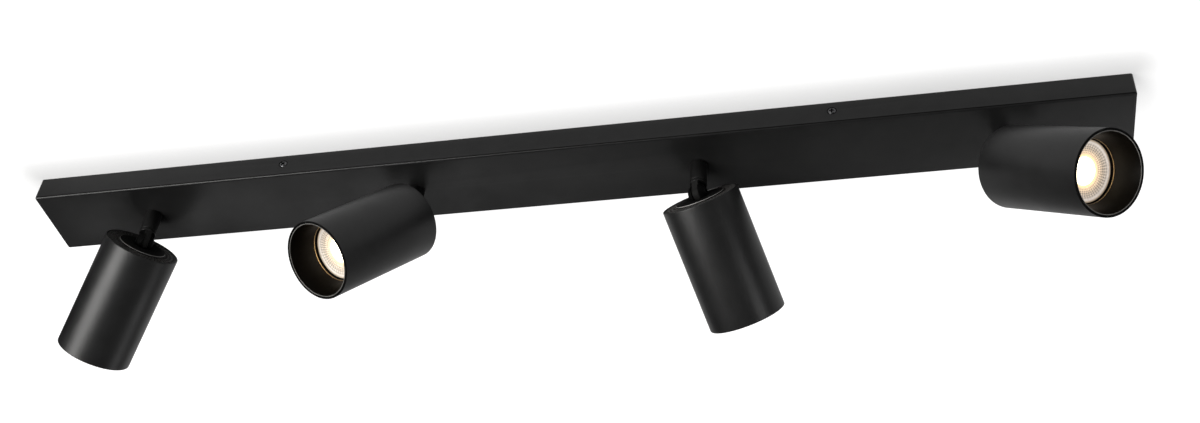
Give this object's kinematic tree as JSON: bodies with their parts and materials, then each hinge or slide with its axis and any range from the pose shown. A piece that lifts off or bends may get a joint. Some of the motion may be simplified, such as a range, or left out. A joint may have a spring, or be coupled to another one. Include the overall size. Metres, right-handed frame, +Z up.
{
  "type": "track lighting fixture",
  "caption": "Ceiling spotlight bar: a slim rectangular canopy with cylindrical spots that each pan about a short stem and tilt at a knuckle.",
  "frame": {"origin": "centre of the ceiling bracket's upper face, which rests on the ceiling", "axes": "+X along the canopy, +Z up into the ceiling, +Y across the canopy"},
  "size_m": [0.864, 0.1761, 0.1486],
  "materials": {
    "black_coat": "satin powder coat",
    "zinc": "zinc plated",
    "screw_steel": "blackened steel",
    "ceramic": "matt ceramic",
    "lamp_shell": "satin shell",
    "lamp_glass": "ribbed lens, glows warm white when lit",
    "terminal_plastic": "matt",
    "wire": "insulated wire"
  },
  "bodies": {
    "base": {"canopy_housing": "black_coat", "ceiling_bracket": "zinc", "side_screw_1": "screw_steel", "side_screw_2": "screw_steel", "side_screw_3": "screw_steel", "side_screw_4": "screw_steel", "terminal_block": "terminal_plastic", "earth_screw": "screw_steel", "cable_clamp": "terminal_plastic", "supply_lead": "wire"},
    "arm_1": {"stem_1": "black_coat", "stem_nut_1": "zinc"},
    "head_1": {"knuckle_1": "black_coat", "pivot_screw_1": "screw_steel", "rear_cap_1": "black_coat", "vent_ring_1": "black_coat", "tube_1": "black_coat", "lampholder_1": "ceramic", "holder_bracket_1": "zinc", "lamp_body_1": "lamp_shell", "lamp_lens_1": "lamp_glass", "baffle_1": "black_coat"},
    "arm_2": {"stem_2": "black_coat", "stem_nut_2": "zinc"},
    "head_2": {"knuckle_2": "black_coat", "pivot_screw_2": "screw_steel", "rear_cap_2": "black_coat", "vent_ring_2": "black_coat", "tube_2": "black_coat", "lampholder_2": "ceramic", "holder_bracket_2": "zinc", "lamp_body_2": "lamp_shell", "lamp_lens_2": "lamp_glass", "baffle_2": "black_coat"},
    "arm_3": {"stem_3": "black_coat", "stem_nut_3": "zinc"},
    "head_3": {"knuckle_3": "black_coat", "pivot_screw_3": "screw_steel", "rear_cap_3": "black_coat", "vent_ring_3": "black_coat", "tube_3": "black_coat", "lampholder_3": "ceramic", "holder_bracket_3": "zinc", "lamp_body_3": "lamp_shell", "lamp_lens_3": "lamp_glass", "baffle_3": "black_coat"},
    "arm_4": {"stem_4": "black_coat", "stem_nut_4": "zinc"},
    "head_4": {"knuckle_4": "black_coat", "pivot_screw_4": "screw_steel", "rear_cap_4": "black_coat", "vent_ring_4": "black_coat", "tube_4": "black_coat", "lampholder_4": "ceramic", "holder_bracket_4": "zinc", "lamp_body_4": "lamp_shell", "lamp_lens_4": "lamp_glass", "baffle_4": "black_coat"}
  },
  "joints": [
    {"name": "pan_1", "type": "hinge", "parent": "base", "child": "arm_1", "pos_m": [-0.339, 0, -0.0515], "axis": [0, 0, 1], "range_deg": [-175, 175]},
    {"name": "tilt_1", "type": "hinge", "parent": "arm_1", "child": "head_1", "pos_m": [-0.339, 0, -0.0515], "axis": [0.7431, 0.6691, 0], "range_deg": [-53, 9]},
    {"name": "pan_2", "type": "hinge", "parent": "base", "child": "arm_2", "pos_m": [-0.113, 0, -0.0515], "axis": [0, 0, 1], "range_deg": [-175, 175]},
    {"name": "tilt_2", "type": "hinge", "parent": "arm_2", "child": "head_2", "pos_m": [-0.113, 0, -0.0515], "axis": [-0.7193, 0.6947, 0], "range_deg": [-40, 22]},
    {"name": "pan_3", "type": "hinge", "parent": "base", "child": "arm_3", "pos_m": [0.113, 0, -0.0515], "axis": [0, 0, 1], "range_deg": [-175, 175]},
    {"name": "tilt_3", "type": "hinge", "parent": "arm_3", "child": "head_3", "pos_m": [0.113, 0, -0.0515], "axis": [0.9455, -0.3256, 0], "range_deg": [-55, 7]},
    {"name": "pan_4", "type": "hinge", "parent": "base", "child": "arm_4", "pos_m": [0.339, 0, -0.0515], "axis": [0, 0, 1], "range_deg": [-175, 175]},
    {"name": "tilt_4", "type": "hinge", "parent": "arm_4", "child": "head_4", "pos_m": [0.339, 0, -0.0515], "axis": [-0.6691, -0.7431, 0], "range_deg": [-51, 11]}
  ]
}
